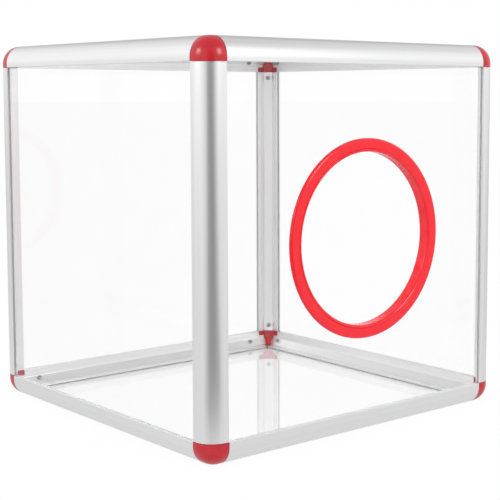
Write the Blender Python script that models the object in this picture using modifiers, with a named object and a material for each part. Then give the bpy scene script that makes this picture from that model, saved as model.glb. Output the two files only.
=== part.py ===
"""Clear cube-shaped tip box: aluminium corner extrusions, moulded corner connectors, clear panels
held in slots, and a round hand hole with a two-part ring in the front panel.

Run with: blender --background --python part.py
Metres, +Z up. The front, which carries the hand hole, faces -Y. The origin is on the ground,
at the middle of the footprint, which includes the ring that stands out of the front.
"""

import math

import bmesh
import bpy
from mathutils import Matrix, Vector

# Driving dimensions
BOX_SIDE = 0.300  # outside edge of the cube
FIT_GAP = 0.0003  # clearance between pieces that touch
CUT_OVERRUN = 0.002  # how far a cutter reaches past what it cuts

# Corner extrusion
CHAMFER_LEG = 0.0058  # the inner chamfer, measured along either flange
FLANGE_REACH = 0.0068  # from the chamfer to a flange's tip
LAND_WIDTH = 0.003  # flat strip between the quarter-round outer face and a flange's tip
ARC_STEPS = 8
WALL = 0.0011  # outer arc and inner chamfer
OUTER_LIP = 0.0012  # lip outside the panel
INNER_LIP = 0.0016  # lip inside the panel
LIP_STEP = 0.0004  # the inner lip's tip is thinner by this
LIP_STEP_WIDTH = 0.0034
SLOT_DEPTH = 0.006
SLOT_FLOOR_WALL = 0.001

# Panels
PANEL_THICKNESS = 0.002

# The inner skin of a level extrusion, which runs on past the square end of the rest of it
SKIN_REACH = 0.0058
SKIN_TOP = 0.0135  # from the box's bottom or top to the skin's other edge
SKIN_WALL = 0.0008  # along the chamfer
SKIN_LIP = 0.0014  # along the flanges
STRIP_WIDTH = 0.0055  # what two skins leave of a connector between them, with its gaps
SKIN_RELIEF = 0.0003  # how far the cut along the strip goes into the rest of the extrusion

# Corner connector, which covers as much of each edge as an extrusion is wide
CAP_FACET_STEP = 0.0012  # from the point where three chamfers would meet to its inner facet
PRONG_ROOT = 0.002  # how deep a prong starts inside the connector
PRONG_PAST_SCREW = 0.0050  # how far a prong reaches past the farthest screw
PRONG_TIP_LENGTH = 0.002
PRONG_TIP_SHARE = 0.8
CHANNEL_EASE = 0.0008  # how far the channel in a prong runs past the first and last screws

# Screws
SIDE_TO_SIDE_SCREW = 0.0132  # from an extrusion's square end to a screw, on those along X
FRONT_TO_BACK_SCREW = 0.0032  # the same, on those along Y
POST_SCREW = 0.0057  # the same, on the upright ones
SCREW_SHIFT = 0.0015  # off the chamfer's middle on a level extrusion, toward its wall
SHANK_RADIUS = 0.0011
SHANK_LENGTH = 0.0028
SHANK_POINT = 0.0008
HEAD_RADIUS = 0.0020
HEAD_EDGE = 0.0004
HEAD_CROWN = 0.0002  # how far its top falls from the middle to the rounded edge
HEAD_HEIGHT = 0.0013
HEAD_STEPS = 10
RECESS_WIDTH = 0.0006
RECESS_LENGTH = 0.0022
RECESS_DEPTH = 0.0008

# Hand-hole ring
RING_BORE_RADIUS = 0.0659
RING_RISE = 0.0007  # the hole's middle is this much above the panel's
RING_STEPS = 72
SLEEVE_WALL = 0.0022
SLEEVE_PROUD = 0.0002  # how far its rounded lip stands out past the bezel
SLEEVE_BACK = 0.0040  # how far it reaches behind the panel
SLEEVE_FLANGE_WIDTH = 0.0024
SLEEVE_FLANGE_THICKNESS = 0.0012
BEZEL_WIDTH = 0.0078
BEZEL_HEIGHT = 0.0030  # above the panel's outer face
BEZEL_EDGE_RADIUS = 0.0014
BEZEL_CHAMFER = 0.0004
EDGE_STEPS = 3

# Sizes that follow
SLOT_WIDTH = PANEL_THICKNESS + 2 * FIT_GAP
FLANGE = OUTER_LIP + SLOT_WIDTH + INNER_LIP
CHAMFER_END = FLANGE + CHAMFER_LEG
LEG = CHAMFER_END + FLANGE_REACH  # width of each flange, from the outer corner
ARC_RADIUS = LEG - LAND_WIDTH
SLOT_FLOOR = LEG - SLOT_DEPTH
SLOT_INNER = OUTER_LIP + SLOT_WIDTH
CHAMFER_SUM = FLANGE + CHAMFER_END  # u + v along the chamfer
HOLLOW_END = SLOT_FLOOR - SLOT_FLOOR_WALL
FAR = LEG + CUT_OVERRUN  # past every part of the extrusion's section
CAP_LENGTH = LEG
HALF_SIDE = BOX_SIDE / 2
RAIL_LENGTH = BOX_SIDE - 2 * (CAP_LENGTH + FIT_GAP)
PANEL_EDGE = SLOT_FLOOR + FIT_GAP  # from the box's outer face to the panel's edge
PANEL_SIDE = BOX_SIDE - 2 * PANEL_EDGE
PANEL_OUTER = OUTER_LIP + FIT_GAP  # depth of the panel's outer face
CAP_FACET_SUM = CHAMFER_SUM * 3 / 2 + CAP_FACET_STEP * math.sqrt(3)
SKIN_RAIL_LENGTH = RAIL_LENGTH + 2 * SKIN_REACH
SKIN_END = CAP_LENGTH + FIT_GAP - SKIN_REACH  # from the box's outer face
STRIP_OFFSET = STRIP_WIDTH / math.sqrt(2)  # how much farther one way than the other a skin starts
SLEEVE_OUTER_RADIUS = RING_BORE_RADIUS + SLEEVE_WALL
SLEEVE_FLANGE_RADIUS = SLEEVE_OUTER_RADIUS + SLEEVE_FLANGE_WIDTH
HAND_HOLE_RADIUS = SLEEVE_OUTER_RADIUS + FIT_GAP
RING_OUTER_RADIUS = HAND_HOLE_RADIUS + BEZEL_WIDTH
RING_FRONT = BEZEL_HEIGHT + SLEEVE_PROUD - PANEL_OUTER  # how far the ring stands out in front
SCREW_INSETS = (SIDE_TO_SIDE_SCREW, FRONT_TO_BACK_SCREW, POST_SCREW)
SCREW_PLACES = [RAIL_LENGTH / 2 - inset for inset in SCREW_INSETS]  # from the middle
PRONG_LENGTH = FIT_GAP + max(SCREW_INSETS) + PRONG_PAST_SCREW  # beyond the connector's end face
CHANNEL_START = FIT_GAP + min(SCREW_INSETS) - SHANK_RADIUS - CHANNEL_EASE
CHANNEL_END = FIT_GAP + max(SCREW_INSETS) + SHANK_RADIUS + CHANNEL_EASE

# The six sides of the box, by name, with the direction that each one faces
SIDES = {
    "front": Vector((0, -1, 0)),
    "back": Vector((0, 1, 0)),
    "left": Vector((-1, 0, 0)),
    "right": Vector((1, 0, 0)),
    "bottom": Vector((0, 0, -1)),
    "top": Vector((0, 0, 1)),
}
BOX_CENTRE = Vector((0, RING_FRONT / 2, HALF_SIDE))

# The middle of an extrusion's inner chamfer and the way that it faces, in the section's X and Y
SCREW_SEAT = Vector((CHAMFER_SUM / 2, CHAMFER_SUM / 2, 0))
CHAMFER_NORMAL = Vector((1, 1, 0)).normalized()
LEVEL_SCREW_SEAT = SCREW_SEAT + SCREW_SHIFT * Vector((1, -1, 0)).normalized()


def clear_scene():
    for obj in list(bpy.data.objects):
        bpy.data.objects.remove(obj, do_unlink=True)


def new_collection(name):
    collection = bpy.data.collections.new(name)
    bpy.context.scene.collection.children.link(collection)
    return collection


def material(name, colour, roughness, metallic=0.0, transmission=0.0):
    made = bpy.data.materials.new(name)
    made.use_nodes = True
    shader = made.node_tree.nodes["Principled BSDF"]
    shader.inputs["Base Color"].default_value = (*colour, 1)
    shader.inputs["Roughness"].default_value = roughness
    shader.inputs["Metallic"].default_value = metallic
    shader.inputs["Transmission Weight"].default_value = transmission
    return made


def aluminium():
    return material("aluminium", (0.80, 0.80, 0.81), 0.35, metallic=1.0)


def red_plastic():
    return material("red_plastic", (0.72, 0.02, 0.04), 0.25)


def clear_acrylic():
    return material("clear_acrylic", (0.98, 0.99, 0.99), 0.03, transmission=1.0)


def screw_steel():
    return material("screw_steel", (0.45, 0.45, 0.46), 0.3, metallic=1.0)


def add_object(name, mesh, collection):
    obj = bpy.data.objects.new(name, mesh)
    collection.objects.link(obj)
    return obj


def mesh_from(name, bm):
    mesh = bpy.data.meshes.new(name)
    bmesh.ops.recalc_face_normals(bm, faces=bm.faces)
    bm.to_mesh(mesh)
    bm.free()
    return mesh


def box_mesh(name, low, high):
    bm = bmesh.new()
    bmesh.ops.create_cube(bm, size=1)
    size = Vector(high) - Vector(low)
    bmesh.ops.scale(bm, vec=size, verts=bm.verts)
    bmesh.ops.translate(bm, vec=Vector(low) + size / 2, verts=bm.verts)
    return mesh_from(name, bm)


def cylinder_mesh(name, radius, start, end, direction, segments=HEAD_STEPS):
    """A closed cylinder along direction, from start to end metres along it."""
    bm = bmesh.new()
    bmesh.ops.create_cone(
        bm, cap_ends=True, segments=segments, radius1=radius, radius2=radius, depth=end - start
    )
    middle = direction * (start + end) / 2
    turn = Vector((0, 0, 1)).rotation_difference(direction).to_matrix().to_4x4()
    bmesh.ops.transform(bm, matrix=Matrix.Translation(middle) @ turn, verts=bm.verts)
    return mesh_from(name, bm)


def add_cutter(name, mesh):
    cutter = add_object(name, mesh, CUTTERS)
    cutter.hide_render = True
    cutter.display_type = "WIRE"
    return cutter


def combine(obj, other, operation):
    modifier = obj.modifiers.new(other.name, "BOOLEAN")
    modifier.object = other
    modifier.operation = operation
    modifier.solver = "EXACT"


def bake(obj, name):
    """The object's shape with its modifiers applied, as a mesh that copies can share."""
    bpy.context.view_layer.update()
    evaluated = obj.evaluated_get(bpy.context.evaluated_depsgraph_get())
    mesh = bpy.data.meshes.new_from_object(evaluated)
    mesh.name = name
    helpers = [modifier.object for modifier in obj.modifiers if modifier.type == "BOOLEAN"]
    for used in [obj, *helpers]:
        bpy.data.objects.remove(used, do_unlink=True)
    return mesh


def smooth(mesh, angle=math.radians(30)):
    mesh.shade_smooth()
    mesh.set_sharp_from_angle(angle=angle)


def arc(centre, radius, start, end, steps):
    """Points on an arc in a plane, from the start angle to the end angle in radians."""
    angles = [start + (end - start) * i / steps for i in range(steps + 1)]
    return [(centre[0] + radius * math.cos(a), centre[1] + radius * math.sin(a)) for a in angles]


def extrusion_outline():
    """The outer outline of the corner extrusion, with the box's outer corner at (0, 0)."""
    flange_one = [
        (LEG, OUTER_LIP),
        (SLOT_FLOOR, OUTER_LIP),
        (SLOT_FLOOR, SLOT_INNER),
        (LEG, SLOT_INNER),
        (LEG, FLANGE - LIP_STEP),
        (LEG - LIP_STEP_WIDTH, FLANGE - LIP_STEP),
        (LEG - LIP_STEP_WIDTH, FLANGE),
        (CHAMFER_END, FLANGE),
    ]
    flange_two = [(v, u) for u, v in reversed(flange_one)]
    face = arc((ARC_RADIUS, ARC_RADIUS), ARC_RADIUS, math.pi, math.pi * 1.5, ARC_STEPS)
    return [(0, LEG), *face, (LEG, 0), *flange_one, *flange_two]


def hollow_outline(inset=0.0):
    """The chamber between the arc and the chamfer, or the prong that fills it with a gap of inset."""
    radius = ARC_RADIUS - WALL - inset
    side = HOLLOW_END - inset
    back = CHAMFER_SUM - (WALL + inset) * math.sqrt(2)
    turn = math.acos((ARC_RADIUS - side) / radius)
    points = arc((ARC_RADIUS, ARC_RADIUS), radius, math.pi * 1.5 - turn, math.pi + turn, ARC_STEPS)
    return [*points, (side, back - side), (back - side, side)]


def extruded_outlines(name, outlines, length):
    """Closed outlines in X and Y, filled as one flat face with holes and extruded along Z."""
    curve = bpy.data.curves.new(name, "CURVE")
    curve.dimensions = "2D"
    curve.fill_mode = "BOTH"
    curve.extrude = length / 2
    for outline in outlines:
        spline = curve.splines.new("POLY")
        spline.points.add(len(outline) - 1)
        for point, (x, y) in zip(spline.points, outline):
            point.co = (x, y, 0, 1)
        spline.use_cyclic_u = True
    mesh = bake(add_object(name, curve, PARTS), name)
    bm = bmesh.new()
    bm.from_mesh(mesh)
    bpy.data.meshes.remove(mesh)
    bmesh.ops.remove_doubles(bm, verts=bm.verts, dist=FIT_GAP / 10)
    return mesh_from(name, bm)


def prism(outline, start, end):
    """A closed outline in X and Y, drawn out along Z."""
    bm = bmesh.new()
    bottom = bm.faces.new([bm.verts.new((x, y, start)) for x, y in outline])
    drawn = bmesh.ops.extrude_face_region(bm, geom=[bottom])
    moved = [item for item in drawn["geom"] if isinstance(item, bmesh.types.BMVert)]
    bmesh.ops.translate(bm, vec=(0, 0, end - start), verts=moved)
    return bm


def skin_back(gap=0.0):
    """The hidden side of the inner skin in the section, or a gap behind it. X is the distance
    from the box's bottom or top and Y the distance from a wall."""
    lip = FLANGE - SKIN_LIP - gap
    chamfer = CHAMFER_SUM - (SKIN_WALL + gap) * math.sqrt(2)
    return [(SKIN_TOP + gap, lip), (chamfer - lip, lip), (lip, chamfer - lip), (lip, FAR)]


def square_end_cutter(end):
    """Cuts off all but the inner skin past the square end of a level extrusion."""
    around = [(-CUT_OVERRUN, FAR), (-CUT_OVERRUN, -CUT_OVERRUN), (FAR, -CUT_OVERRUN)]
    outline = [*skin_back(), *around, (FAR, FAR), (SKIN_TOP, FAR)]
    bm = prism(outline, end * RAIL_LENGTH / 2, end * (SKIN_RAIL_LENGTH / 2 + CUT_OVERRUN))
    return add_cutter("square_end", mesh_from("square_end", bm))


def strip_cutter(end):
    """Cuts the inner skin off along the strip, at 45 degrees to the extrusion's length."""
    deep = SKIN_END - CUT_OVERRUN
    shallow = CAP_LENGTH + FIT_GAP + SKIN_RELIEF
    slope = [(deep - STRIP_OFFSET, deep), (shallow - STRIP_OFFSET, shallow)]
    outline = [*slope, (FAR, shallow), (FAR, deep)]
    bm = prism(outline, SLOT_INNER - FIT_GAP, FAR)
    for vertex in bm.verts:
        along, depth, up = vertex.co
        vertex.co = (up, along, end * (HALF_SIDE - depth))
    return add_cutter("strip", mesh_from("strip", bm))


def rail_mesh(screw_place, level):
    """One extrusion along Z, upright or level, with a screw hole near each end."""
    outlines = [extrusion_outline(), hollow_outline()]
    length = SKIN_RAIL_LENGTH if level else RAIL_LENGTH
    seat = LEVEL_SCREW_SEAT if level else SCREW_SEAT
    rail = add_object("rail", extruded_outlines("rail", outlines, length), PARTS)
    for end in (-1, 1):
        if level:
            combine(rail, square_end_cutter(end), "DIFFERENCE")
            combine(rail, strip_cutter(end), "DIFFERENCE")
        radius = SHANK_RADIUS + FIT_GAP
        hole = cylinder_mesh("screw_hole", radius, -WALL * 2, CUT_OVERRUN, CHAMFER_NORMAL)
        cutter = add_cutter("screw_hole", hole)
        cutter.location = seat + Vector((0, 0, end * screw_place))
        combine(rail, cutter, "DIFFERENCE")
    mesh = bake(rail, "rail")
    smooth(mesh)
    return mesh


def cap_block():
    """The corner of a rounded cube, cut off at the connector's length."""
    bm = bmesh.new()
    bmesh.ops.create_cube(bm, size=2 * CAP_LENGTH)
    bmesh.ops.translate(bm, vec=Vector.Fill(3, CAP_LENGTH), verts=bm.verts)
    block = add_object("cap", mesh_from("cap", bm), PARTS)
    rounding = block.modifiers.new("rounding", "BEVEL")
    rounding.width = ARC_RADIUS
    rounding.segments = ARC_STEPS
    low = Vector.Fill(3, -CUT_OVERRUN)
    high = Vector.Fill(3, CAP_LENGTH)
    combine(block, add_cutter("cap_corner", box_mesh("cap_corner", low, high)), "INTERSECT")
    return block


def cut_away(bm, point, normal):
    """Removes what lies behind a plane and closes the cut."""
    cut = bmesh.ops.bisect_plane(
        bm,
        geom=[*bm.verts, *bm.edges, *bm.faces],
        plane_co=point,
        plane_no=normal,
        clear_inner=True,
    )
    rim = [item for item in cut["geom_cut"] if isinstance(item, bmesh.types.BMEdge)]
    bmesh.ops.edgeloop_fill(bm, edges=rim)


def cap_inside_cutter():
    """What lies inside the connector's inner lips, its three chamfers and its facet."""
    bm = bmesh.new()
    reach = CAP_LENGTH + CUT_OVERRUN - FLANGE
    bmesh.ops.create_cube(bm, size=reach)
    bmesh.ops.translate(bm, vec=Vector.Fill(3, FLANGE + reach / 2), verts=bm.verts)
    for normal in (Vector((1, 1, 0)), Vector((0, 1, 1)), Vector((1, 0, 1))):
        cut_away(bm, Vector.Fill(3, CHAMFER_SUM / 2), normal)
    cut_away(bm, Vector.Fill(3, CAP_FACET_SUM / 3), Vector((1, 1, 1)))
    return add_cutter("cap_inside", mesh_from("cap_inside", bm))


def skin_room_cutter(axis):
    """The room for a level extrusion's inner skin, along the connector's axis 1 or 2."""
    lip = FLANGE - SKIN_LIP - FIT_GAP
    bm = prism([*skin_back(FIT_GAP), (SKIN_TOP + FIT_GAP, FAR)], SKIN_END - FIT_GAP, FAR)
    offset = STRIP_OFFSET - FIT_GAP * math.sqrt(2)
    cut_away(bm, Vector((0, lip, lip + offset)), Vector((0, -1, 1)))
    if axis == 1:
        for vertex in bm.verts:
            vertex.co.y, vertex.co.z = vertex.co.z, vertex.co.y
    return add_cutter("skin_room", mesh_from("skin_room", bm))


def cap_slot_cutter(axis):
    """The pocket for a panel's corner, in the wall that faces along the given axis."""
    low = Vector.Fill(3, SLOT_FLOOR)
    high = Vector.Fill(3, CAP_LENGTH + CUT_OVERRUN)
    low[axis] = OUTER_LIP
    high[axis] = SLOT_INNER
    return add_cutter("cap_slot", box_mesh("cap_slot", low, high))


def prong_mesh():
    """A prong along Z that fills the extrusion's chamber, with a tapered tip."""
    bm = bmesh.new()
    outline = hollow_outline(FIT_GAP)
    root = CAP_LENGTH - PRONG_ROOT
    tip = CAP_LENGTH + PRONG_LENGTH
    middle = sum((Vector(point) for point in outline), Vector((0, 0))) / len(outline)
    rings = []
    for height, share in ((root, 1), (tip - PRONG_TIP_LENGTH, 1), (tip, PRONG_TIP_SHARE)):
        around = [middle + (Vector(point) - middle) * share for point in outline]
        rings.append([bm.verts.new((*point, height)) for point in around])
    for lower, upper in zip(rings, rings[1:]):
        for i in range(len(outline)):
            bm.faces.new((lower[i - 1], lower[i], upper[i], upper[i - 1]))
    bm.faces.new(rings[0])
    bm.faces.new(rings[-1])
    return mesh_from("prong", bm)


def channel_mesh(seat):
    """The cutter for the long channel that lets a screw into a prong at any of its places."""
    half = SHANK_RADIUS + FIT_GAP
    floor = -SHANK_LENGTH - FIT_GAP
    low = (-half, floor, CAP_LENGTH + CHANNEL_START)
    mesh = box_mesh("channel", low, (half, CUT_OVERRUN, CAP_LENGTH + CHANNEL_END))
    facing = Vector((0, 1, 0)).rotation_difference(CHAMFER_NORMAL).to_matrix().to_4x4()
    mesh.transform(Matrix.Translation(seat) @ facing)
    return mesh


def turn_to_axis(axis):
    """Turns the Z direction to the given axis, with X, Y and Z still in right-handed order."""
    columns = [Vector.Fill(3), Vector.Fill(3), Vector.Fill(3)]
    for i, column in enumerate(columns):
        column[(axis + 1 + i) % 3] = 1
    return Matrix(columns).transposed().to_4x4()


def cap_mesh():
    """One connector, with its outer corner at the origin and an edge of the box along each axis,
    the upright one along X."""
    cap = cap_block()
    combine(cap, cap_inside_cutter(), "DIFFERENCE")
    for axis in range(3):
        combine(cap, cap_slot_cutter(axis), "DIFFERENCE")
    for axis in (1, 2):
        combine(cap, skin_room_cutter(axis), "DIFFERENCE")
    for axis in range(3):
        prong = add_cutter("prong", prong_mesh())
        prong.matrix_world = turn_to_axis(axis)
        combine(cap, prong, "UNION")
    for axis, seat in enumerate((SCREW_SEAT, LEVEL_SCREW_SEAT.yxz, LEVEL_SCREW_SEAT)):
        channel = add_cutter("channel", channel_mesh(seat))
        channel.matrix_world = turn_to_axis(axis)
        combine(cap, channel, "DIFFERENCE")
    mesh = bake(cap, "cap")
    smooth(mesh)
    return mesh


def turned(name, profile, steps):
    """A turned shape about Z from a profile of (radius, height) that runs down its outer side.
    A profile that starts off the axis is closed into a ring."""
    mesh = bpy.data.meshes.new(name)
    edges = [(i, i + 1) for i in range(len(profile) - 1)]
    if profile[0][0] > 0:
        edges.append((len(profile) - 1, 0))
    mesh.from_pydata([(radius, 0, height) for radius, height in profile], edges, [])
    obj = add_object(name, mesh, PARTS)
    screw = obj.modifiers.new("turn", "SCREW")
    screw.axis = "Z"
    screw.steps = steps
    screw.render_steps = steps
    screw.use_merge_vertices = True
    screw.merge_threshold = FIT_GAP / 10
    return obj


def screw_profile():
    """Pan head above the seat and shank below it."""
    seat = FIT_GAP
    return [
        (0, seat + HEAD_HEIGHT),
        (HEAD_RADIUS - HEAD_EDGE, seat + HEAD_HEIGHT - HEAD_CROWN),
        (HEAD_RADIUS, seat + HEAD_EDGE),
        (HEAD_RADIUS, seat),
        (SHANK_RADIUS, seat),
        (SHANK_RADIUS, -SHANK_LENGTH + SHANK_POINT),
        (SHANK_RADIUS / 2, -SHANK_LENGTH),
        (0, -SHANK_LENGTH),
    ]


def screw_mesh():
    """A pan-head screw along Z, with a cross recess, its seat at the origin."""
    screw = turned("screw", screw_profile(), HEAD_STEPS)
    top = FIT_GAP + HEAD_HEIGHT
    for along, across in ((RECESS_LENGTH, RECESS_WIDTH), (RECESS_WIDTH, RECESS_LENGTH)):
        low = (-along / 2, -across / 2, top - RECESS_DEPTH)
        high = (along / 2, across / 2, top + CUT_OVERRUN)
        combine(screw, add_cutter("recess", box_mesh("recess", low, high)), "DIFFERENCE")
    mesh = bake(screw, "screw")
    smooth(mesh)
    return mesh


def bezel_profile():
    """The ring outside the panel, with height 0 on the panel's outer face and +Z away from it."""
    inner = HAND_HOLE_RADIUS
    corner = (RING_OUTER_RADIUS - BEZEL_EDGE_RADIUS, BEZEL_HEIGHT - BEZEL_EDGE_RADIUS)
    edge = arc(corner, BEZEL_EDGE_RADIUS, math.pi / 2, 0, EDGE_STEPS)
    return [
        (inner, BEZEL_HEIGHT - BEZEL_CHAMFER),
        (inner + BEZEL_CHAMFER, BEZEL_HEIGHT),
        *edge,
        (RING_OUTER_RADIUS, FIT_GAP),
        (inner, FIT_GAP),
    ]


def sleeve_profile():
    """The ring that lines the hole, with a flange behind the panel; height 0 as for the bezel."""
    flange_front = -PANEL_THICKNESS - FIT_GAP
    flange_back = flange_front - SLEEVE_FLANGE_THICKNESS
    back = -PANEL_THICKNESS - SLEEVE_BACK
    half = SLEEVE_WALL / 2
    lip = (RING_BORE_RADIUS + half, BEZEL_HEIGHT + SLEEVE_PROUD - half)
    front = arc(lip, half, math.pi, 0, 2 * EDGE_STEPS)
    return [
        *front,
        (SLEEVE_OUTER_RADIUS, flange_front),
        (SLEEVE_FLANGE_RADIUS, flange_front),
        (SLEEVE_FLANGE_RADIUS, flange_back),
        (SLEEVE_OUTER_RADIUS, flange_back),
        (SLEEVE_OUTER_RADIUS, back),
        (RING_BORE_RADIUS, back),
    ]


def side_turn(side):
    """Turns Z to face outward from a side, with the panel's own X and Y in the side's plane."""
    outward = SIDES[side]
    return Vector((0, 0, 1)).rotation_difference(outward).to_matrix().to_4x4()


def add_part(name, mesh, look, matrix):
    """A named piece of the box, placed by a rotation and a location under the box's empty."""
    part = add_object(name, mesh, PARTS)
    if not mesh.materials:
        mesh.materials.append(look)
    part.parent = ROOT
    part.location = matrix.to_translation()
    part.rotation_euler = matrix.to_euler()
    return part


def rail_frame(first, second):
    """The extrusion's place where two sides meet: its X and Y run inward along those sides."""
    across = -SIDES[first]
    up = -SIDES[second]
    turn = Matrix((across, up, across.cross(up))).transposed().to_4x4()
    corner = BOX_CENTRE - (across + up) * HALF_SIDE
    return Matrix.Translation(corner) @ turn


def side_facing(direction):
    return next(name for name, outward in SIDES.items() if outward.dot(direction) > 1 / 2)


def rail_places():
    """The names of the twelve extrusions, with the two sides that each one joins."""
    walls = ("front", "back", "left", "right")
    places = {f"post_{y}_{x}": (y, x) for y in walls[:2] for x in walls[2:]}
    for level in ("bottom", "top"):
        for wall in walls:
            places[f"rail_{level}_{wall}"] = (level, wall)
    return places


def add_rails_and_screws():
    """Twelve extrusions, and a screw near each end of each that holds a connector's prong."""
    rails = [rail_mesh(screw_place, axis < 2) for axis, screw_place in enumerate(SCREW_PLACES)]
    rail_look = aluminium()
    screw, screw_look = screw_mesh(), screw_steel()
    seat_turn = Vector((0, 0, 1)).rotation_difference(CHAMFER_NORMAL).to_matrix().to_4x4()
    for name, (first, second) in rail_places().items():
        place = rail_frame(first, second)
        length_way = place.to_3x3() @ Vector((0, 0, 1))
        axis = max(range(3), key=lambda i: abs(length_way[i]))
        add_part(name, rails[axis], rail_look, place)
        seat = LEVEL_SCREW_SEAT if axis < 2 else SCREW_SEAT
        for end in (-1, 1):
            along = Vector((0, 0, end * SCREW_PLACES[axis]))
            screw_matrix = place @ Matrix.Translation(seat + along) @ seat_turn
            towards = side_facing(length_way * end)
            add_part(f"screw_{name}_{towards}", screw, screw_look, screw_matrix)


def add_corners():
    mesh, look = cap_mesh(), red_plastic()
    for level in ("bottom", "top"):
        for y in ("front", "back"):
            for x in ("left", "right"):
                inward = [-SIDES[level], -SIDES[y], -SIDES[x]]
                if Matrix(inward).determinant() < 0:
                    inward[1], inward[2] = inward[2], inward[1]
                turn = Matrix(inward).transposed().to_4x4()
                corner = BOX_CENTRE - sum(inward, Vector()) * HALF_SIDE
                add_part(f"corner_{level}_{y}_{x}", mesh, look, Matrix.Translation(corner) @ turn)


def hand_hole_place():
    """The hole's middle on the front panel's outer face, with Z outward."""
    face = BOX_CENTRE + SIDES["front"] * (HALF_SIDE - PANEL_OUTER)
    return Matrix.Translation(face + SIDES["top"] * RING_RISE) @ side_turn("front")


def add_panels():
    """Six clear sheets, each held on all four edges. The front one has the hand hole."""
    look = clear_acrylic()
    half = PANEL_SIDE / 2
    for side in SIDES:
        mesh = box_mesh(f"panel_{side}", (-half, -half, -PANEL_THICKNESS), (half, half, 0))
        face = BOX_CENTRE + SIDES[side] * (HALF_SIDE - PANEL_OUTER)
        panel = add_part(f"panel_{side}", mesh, look, Matrix.Translation(face) @ side_turn(side))
        if side == "front":
            depth = -PANEL_THICKNESS - CUT_OVERRUN
            way = Vector((0, 0, 1))
            hole = cylinder_mesh("hand_hole", HAND_HOLE_RADIUS, depth, CUT_OVERRUN, way, RING_STEPS)
            cutter = add_cutter("hand_hole", hole)
            cutter.matrix_world = hand_hole_place()
            combine(panel, cutter, "DIFFERENCE")


def add_hand_ring():
    """The bezel outside the front panel and the sleeve that lines the hole behind it."""
    look = red_plastic()
    place = hand_hole_place()
    for name, profile in (
        ("hand_ring_bezel", bezel_profile()),
        ("hand_ring_sleeve", sleeve_profile()),
    ):
        mesh = bake(turned(name, profile, RING_STEPS), name)
        smooth(mesh)
        add_part(name, mesh, look, place)


clear_scene()
PARTS = new_collection("tip_box")
CUTTERS = new_collection("cutters")
ROOT = bpy.data.objects.new("tip_box", None)
PARTS.objects.link(ROOT)

add_rails_and_screws()
add_corners()
add_panels()
add_hand_ring()
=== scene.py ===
"""The clear cube tip box as the photograph shows it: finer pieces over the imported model, with
materials, a white floor, soft light and the photograph's camera. Metres, +Z up."""

import math

import bmesh
import bpy
from mathutils import Matrix, Vector


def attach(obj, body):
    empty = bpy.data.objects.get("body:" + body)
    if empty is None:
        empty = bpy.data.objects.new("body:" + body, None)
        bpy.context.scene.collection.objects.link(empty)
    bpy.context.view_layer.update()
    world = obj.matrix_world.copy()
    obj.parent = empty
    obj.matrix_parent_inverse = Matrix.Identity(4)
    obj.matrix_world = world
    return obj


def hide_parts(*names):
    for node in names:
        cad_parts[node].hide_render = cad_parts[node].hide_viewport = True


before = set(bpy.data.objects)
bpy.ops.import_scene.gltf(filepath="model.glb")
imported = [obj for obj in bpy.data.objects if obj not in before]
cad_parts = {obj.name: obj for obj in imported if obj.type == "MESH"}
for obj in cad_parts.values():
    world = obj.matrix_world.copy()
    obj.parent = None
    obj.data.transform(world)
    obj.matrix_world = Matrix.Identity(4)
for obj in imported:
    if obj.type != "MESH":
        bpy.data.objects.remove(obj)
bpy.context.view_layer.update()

# Sizes, as in the part's source
BOX_SIDE = 0.300
FIT_GAP = 0.0003
CUT_OVERRUN = 0.002
CHAMFER_LEG = 0.0058
FLANGE_REACH = 0.0068
LAND_WIDTH = 0.003
WALL = 0.0011
OUTER_LIP = 0.0012
INNER_LIP = 0.0016
LIP_STEP = 0.0004
LIP_STEP_WIDTH = 0.0034
SLOT_DEPTH = 0.006
SLOT_FLOOR_WALL = 0.001
PANEL_THICKNESS = 0.002
SKIN_REACH = 0.0058
SKIN_TOP = 0.0135
SKIN_WALL = 0.0008
SKIN_LIP = 0.0014
STRIP_WIDTH = 0.0055
SKIN_RELIEF = 0.0003
CAP_FACET_STEP = 0.0012
PRONG_ROOT = 0.002
PRONG_PAST_SCREW = 0.0050
PRONG_TIP_LENGTH = 0.002
PRONG_TIP_SHARE = 0.8
SIDE_TO_SIDE_SCREW = 0.0132
FRONT_TO_BACK_SCREW = 0.0032
POST_SCREW = 0.0057
SCREW_SHIFT = 0.0015
SHANK_RADIUS = 0.0011
SHANK_LENGTH = 0.0028
SHANK_POINT = 0.0008
HEAD_RADIUS = 0.0020
HEAD_EDGE = 0.0004
HEAD_CROWN = 0.0002
HEAD_HEIGHT = 0.0013
RECESS_WIDTH = 0.0006
RECESS_LENGTH = 0.0022
RECESS_DEPTH = 0.0008
RING_BORE_RADIUS = 0.0659
RING_RISE = 0.0007
SLEEVE_WALL = 0.0022
SLEEVE_PROUD = 0.0002
SLEEVE_BACK = 0.0040
SLEEVE_FLANGE_WIDTH = 0.0024
SLEEVE_FLANGE_THICKNESS = 0.0012
BEZEL_WIDTH = 0.0078
BEZEL_HEIGHT = 0.0030

SLOT_WIDTH = PANEL_THICKNESS + 2 * FIT_GAP
FLANGE = OUTER_LIP + SLOT_WIDTH + INNER_LIP
CHAMFER_END = FLANGE + CHAMFER_LEG
LEG = CHAMFER_END + FLANGE_REACH
ARC_RADIUS = LEG - LAND_WIDTH
SLOT_FLOOR = LEG - SLOT_DEPTH
SLOT_INNER = OUTER_LIP + SLOT_WIDTH
CHAMFER_SUM = FLANGE + CHAMFER_END
HOLLOW_END = SLOT_FLOOR - SLOT_FLOOR_WALL
FAR = LEG + CUT_OVERRUN
CAP_LENGTH = LEG
HALF_SIDE = BOX_SIDE / 2
RAIL_LENGTH = BOX_SIDE - 2 * (CAP_LENGTH + FIT_GAP)
PANEL_EDGE = SLOT_FLOOR + FIT_GAP
PANEL_SIDE = BOX_SIDE - 2 * PANEL_EDGE
PANEL_OUTER = OUTER_LIP + FIT_GAP
CAP_FACET_SUM = CHAMFER_SUM * 3 / 2 + CAP_FACET_STEP * math.sqrt(3)
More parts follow.
